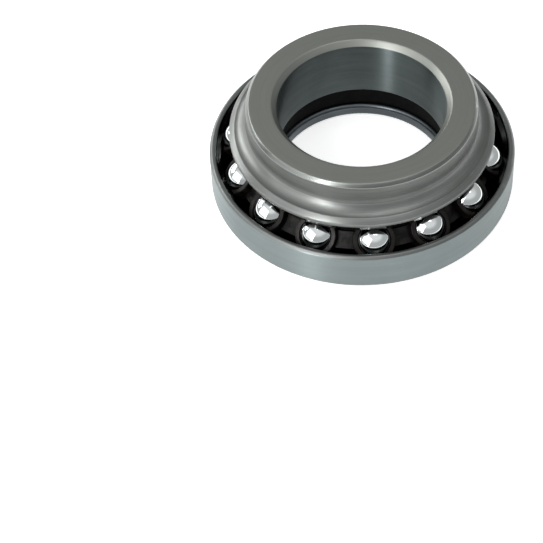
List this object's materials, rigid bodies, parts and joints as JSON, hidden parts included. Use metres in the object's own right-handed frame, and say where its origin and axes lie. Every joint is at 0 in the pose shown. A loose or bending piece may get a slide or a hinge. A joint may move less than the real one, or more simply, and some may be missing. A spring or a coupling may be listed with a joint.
{
  "type": "angular contact thrust ball bearing",
  "caption": "Open ball bearing that carries thrust: a low outer ring, a tall stepped inner ring, caged steel balls between, free to turn on one axis.",
  "frame": {"origin": "centre of the outer ring's bottom face, on the bearing axis", "axes": "+Z along the bearing axis, from the outer ring's base toward the inner ring's top face; the first ball lies on -Y"},
  "size_m": [0.055, 0.055, 0.0184],
  "materials": {
    "outer_steel": "satin ground outside, light blue-grey",
    "inner_steel": "fine ground, mid grey",
    "ball_steel": "mirror lapped",
    "cage_plastic": "glossy moulded, dark brown-black"
  },
  "bodies": {
    "outer_ring": {"outer_ring": "outer_steel"},
    "inner_ring": {"inner_ring": "inner_steel"},
    "cage": {"cage": "cage_plastic"},
    "ball_01": {"ball_01": "ball_steel"},
    "ball_02": {"ball_02": "ball_steel"},
    "ball_03": {"ball_03": "ball_steel"},
    "ball_04": {"ball_04": "ball_steel"},
    "ball_05": {"ball_05": "ball_steel"},
    "ball_06": {"ball_06": "ball_steel"},
    "ball_07": {"ball_07": "ball_steel"},
    "ball_08": {"ball_08": "ball_steel"},
    "ball_09": {"ball_09": "ball_steel"},
    "ball_10": {"ball_10": "ball_steel"},
    "ball_11": {"ball_11": "ball_steel"},
    "ball_12": {"ball_12": "ball_steel"},
    "ball_13": {"ball_13": "ball_steel"},
    "ball_14": {"ball_14": "ball_steel"}
  },
  "joints": [
    {"name": "inner_ring_turn", "type": "hinge", "parent": "outer_ring", "child": "inner_ring", "pos_m": [0, 0, 0.0125], "axis": [0, 0, 1], "continuous": true},
    {"name": "cage_turn", "type": "hinge", "parent": "outer_ring", "child": "cage", "pos_m": [0, 0, 0.0045], "axis": [0, 0, 1], "continuous": true},
    {"name": "ball_01_roll", "type": "hinge", "parent": "cage", "child": "ball_01", "pos_m": [0, -0.0222, 0.0064], "axis": [0, -0.7071, 0.7071], "continuous": true},
    {"name": "ball_02_roll", "type": "hinge", "parent": "cage", "child": "ball_02", "pos_m": [0.00963, -0.02, 0.0064], "axis": [0.3068, -0.6371, 0.7071], "continuous": true},
    {"name": "ball_03_roll", "type": "hinge", "parent": "cage", "child": "ball_03", "pos_m": [0.01736, -0.01384, 0.0064], "axis": [0.5528, -0.4409, 0.7071], "continuous": true},
    {"name": "ball_04_roll", "type": "hinge", "parent": "cage", "child": "ball_04", "pos_m": [0.02164, -0.00494, 0.0064], "axis": [0.6894, -0.1573, 0.7071], "continuous": true},
    {"name": "ball_05_roll", "type": "hinge", "parent": "cage", "child": "ball_05", "pos_m": [0.02164, 0.00494, 0.0064], "axis": [0.6894, 0.1573, 0.7071], "continuous": true},
    {"name": "ball_06_roll", "type": "hinge", "parent": "cage", "child": "ball_06", "pos_m": [0.01736, 0.01384, 0.0064], "axis": [0.5528, 0.4409, 0.7071], "continuous": true},
    {"name": "ball_07_roll", "type": "hinge", "parent": "cage", "child": "ball_07", "pos_m": [0.00963, 0.02, 0.0064], "axis": [0.3068, 0.6371, 0.7071], "continuous": true},
    {"name": "ball_08_roll", "type": "hinge", "parent": "cage", "child": "ball_08", "pos_m": [0, 0.0222, 0.0064], "axis": [0, 0.7071, 0.7071], "continuous": true},
    {"name": "ball_09_roll", "type": "hinge", "parent": "cage", "child": "ball_09", "pos_m": [-0.00963, 0.02, 0.0064], "axis": [-0.3068, 0.6371, 0.7071], "continuous": true},
    {"name": "ball_10_roll", "type": "hinge", "parent": "cage", "child": "ball_10", "pos_m": [-0.01736, 0.01384, 0.0064], "axis": [-0.5528, 0.4409, 0.7071], "continuous": true},
    {"name": "ball_11_roll", "type": "hinge", "parent": "cage", "child": "ball_11", "pos_m": [-0.02164, 0.00494, 0.0064], "axis": [-0.6894, 0.1573, 0.7071], "continuous": true},
    {"name": "ball_12_roll", "type": "hinge", "parent": "cage", "child": "ball_12", "pos_m": [-0.02164, -0.00494, 0.0064], "axis": [-0.6894, -0.1573, 0.7071], "continuous": true},
    {"name": "ball_13_roll", "type": "hinge", "parent": "cage", "child": "ball_13", "pos_m": [-0.01736, -0.01384, 0.0064], "axis": [-0.5528, -0.4409, 0.7071], "continuous": true},
    {"name": "ball_14_roll", "type": "hinge", "parent": "cage", "child": "ball_14", "pos_m": [-0.00963, -0.02, 0.0064], "axis": [-0.3068, -0.6371, 0.7071], "continuous": true}
  ],
  "couplings": [
    {"joint": "cage_turn", "follows": "inner_ring_turn", "ratio": 0.44944},
    {"joint": "ball_01_roll", "follows": "inner_ring_turn", "ratio": -3.4603},
    {"joint": "ball_02_roll", "follows": "inner_ring_turn", "ratio": -3.4603},
    {"joint": "ball_03_roll", "follows": "inner_ring_turn", "ratio": -3.4603},
    {"joint": "ball_04_roll", "follows": "inner_ring_turn", "ratio": -3.4603},
    {"joint": "ball_05_roll", "follows": "inner_ring_turn", "ratio": -3.4603},
    {"joint": "ball_06_roll", "follows": "inner_ring_turn", "ratio": -3.4603},
    {"joint": "ball_07_roll", "follows": "inner_ring_turn", "ratio": -3.4603},
    {"joint": "ball_08_roll", "follows": "inner_ring_turn", "ratio": -3.4603},
    {"joint": "ball_09_roll", "follows": "inner_ring_turn", "ratio": -3.4603},
    {"joint": "ball_10_roll", "follows": "inner_ring_turn", "ratio": -3.4603},
    {"joint": "ball_11_roll", "follows": "inner_ring_turn", "ratio": -3.4603},
    {"joint": "ball_12_roll", "follows": "inner_ring_turn", "ratio": -3.4603},
    {"joint": "ball_13_roll", "follows": "inner_ring_turn", "ratio": -3.4603},
    {"joint": "ball_14_roll", "follows": "inner_ring_turn", "ratio": -3.4603}
  ]
}
